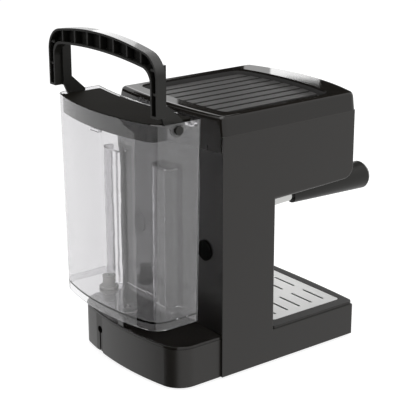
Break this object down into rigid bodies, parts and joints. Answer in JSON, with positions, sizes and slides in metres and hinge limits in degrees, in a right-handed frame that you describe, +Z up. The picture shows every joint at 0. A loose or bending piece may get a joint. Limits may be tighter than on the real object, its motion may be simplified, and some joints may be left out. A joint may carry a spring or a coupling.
{
  "type": "espresso machine",
  "caption": "Compact pump espresso machine with a lift-out rear water tank, swinging tank handle, slide-out drip tray, locking portafilter, steam wand and ribbed cup-warming top.",
  "frame": {"origin": "on the floor, at the middle of the whole machine's width and depth", "axes": "+Z up, +Y towards the water tank at the rear, +X towards the right side seen from the front"},
  "size_m": [0.2088, 0.4168, 0.396],
  "materials": {
    "shell_plastic": "satin gloss charcoal black",
    "matte_plastic": "fine matte",
    "handle_plastic": "satin moulded",
    "clear_tank": "clear smoke tint",
    "brushed_steel": "brushed",
    "polished_steel": "polished",
    "cast_aluminium": "as cast",
    "brass": "machined",
    "black_rubber": "matte",
    "hose_rubber": "translucent silicone",
    "white_plastic": "moulded",
    "pump_plastic": "moulded",
    "board": "lacquered",
    "button_plastic": "gloss"
  },
  "bodies": {
    "machine": {"left_side_panel": "shell_plastic", "right_side_panel": "shell_plastic", "top_cover": "shell_plastic", "tank_base": "shell_plastic", "tank_base_cover": "shell_plastic", "head_underside": "shell_plastic", "column_front_panel": "shell_plastic", "cup_warming_tray": "matte_plastic", "rear_wall": "matte_plastic", "rear_plugs": "matte_plastic", "base_chassis": "matte_plastic", "button_housing": "matte_plastic", "pump_bracket": "matte_plastic", "front_fascia": "brushed_steel", "shower_screen": "polished_steel", "shower_screw": "polished_steel", "base_screws": "polished_steel", "boiler_screws": "polished_steel", "boiler_body": "cast_aluminium", "boiler_lid": "cast_aluminium", "group_ring": "cast_aluminium", "steam_valve_body": "brass", "steam_pipe": "brass", "heating_element": "brass", "feet": "black_rubber", "group_gasket": "black_rubber", "boiler_gasket": "black_rubber", "pump_damper": "black_rubber", "dock_seal": "black_rubber", "suction_hose": "hose_rubber", "pressure_hose": "hose_rubber", "inlet_fitting": "white_plastic", "button_switches": "white_plastic", "pump": "pump_plastic", "thermostats": "pump_plastic", "control_board": "board"},
    "tank": {"water_tank": "clear_tank", "handle_pins": "handle_plastic", "tank_valve_body": "white_plastic", "valve_nut": "white_plastic", "valve_cap": "white_plastic", "valve_spring": "polished_steel"},
    "lid": {"tank_lid": "shell_plastic"},
    "handle": {"tank_handle": "handle_plastic"},
    "poppet": {"valve_poppet": "white_plastic"},
    "portafilter": {"portafilter_body": "polished_steel", "filter_basket": "polished_steel", "portafilter_stem": "polished_steel", "portafilter_handle": "handle_plastic", "portafilter_spout": "polished_steel"},
    "tray": {"drip_tray": "matte_plastic"},
    "grille": {"drip_grille": "brushed_steel"},
    "power": {"power_button": "button_plastic"},
    "brew": {"brew_button": "button_plastic"},
    "steam": {"steam_button": "button_plastic"},
    "knob": {"steam_knob": "handle_plastic", "steam_valve_stem": "polished_steel"},
    "wand": {"steam_wand": "polished_steel", "froth_sleeve": "polished_steel", "wand_grip": "handle_plastic"}
  },
  "joints": [
    {"name": "tank_slide", "type": "slide", "parent": "machine", "child": "tank", "axis": [0, 0.7071, 0.7071], "range_m": [-0.03635, 0.1]},
    {"name": "lid_lift", "type": "slide", "parent": "tank", "child": "lid", "axis": [0, 0, 1], "range_m": [0, 0.04]},
    {"name": "handle_pivot", "type": "hinge", "parent": "tank", "child": "handle", "pos_m": [0, 0.16641, 0.304], "axis": [1, 0, 0], "range_deg": [-10, 55]},
    {"name": "valve_lift", "type": "slide", "parent": "tank", "child": "poppet", "axis": [0, 0, 1], "range_m": [0, 0.002], "stiffness_N_per_m": 150, "deforming": ["valve_spring"]},
    {"name": "portafilter_lock", "type": "hinge", "parent": "machine", "child": "portafilter", "pos_m": [0, -0.00959, 0.1867], "axis": [0, 0, 1], "range_deg": [-50, 0]},
    {"name": "tray_slide", "type": "slide", "parent": "machine", "child": "tray", "axis": [0, -1, 0], "range_m": [0, 0.14]},
    {"name": "grille_lift", "type": "slide", "parent": "tray", "child": "grille", "axis": [0, 0, 1], "range_m": [0, 0.02]},
    {"name": "power_press", "type": "slide", "parent": "machine", "child": "power", "axis": [0, 1, 0], "range_m": [0, 0.0015], "stiffness_N_per_m": 400},
    {"name": "brew_press", "type": "slide", "parent": "machine", "child": "brew", "axis": [0, 1, 0], "range_m": [0, 0.0015], "stiffness_N_per_m": 400},
    {"name": "steam_press", "type": "slide", "parent": "machine", "child": "steam", "axis": [0, 1, 0], "range_m": [0, 0.0015], "stiffness_N_per_m": 400},
    {"name": "knob_turn", "type": "hinge", "parent": "machine", "child": "knob", "pos_m": [0.074, -0.08859, 0.246], "axis": [0, -1, 0], "range_deg": [0, 270]},
    {"name": "wand_swivel", "type": "hinge", "parent": "machine", "child": "wand", "pos_m": [0.074, -0.04159, 0.2003], "axis": [0, 0, 1], "range_deg": [-35, 35]}
  ]
}
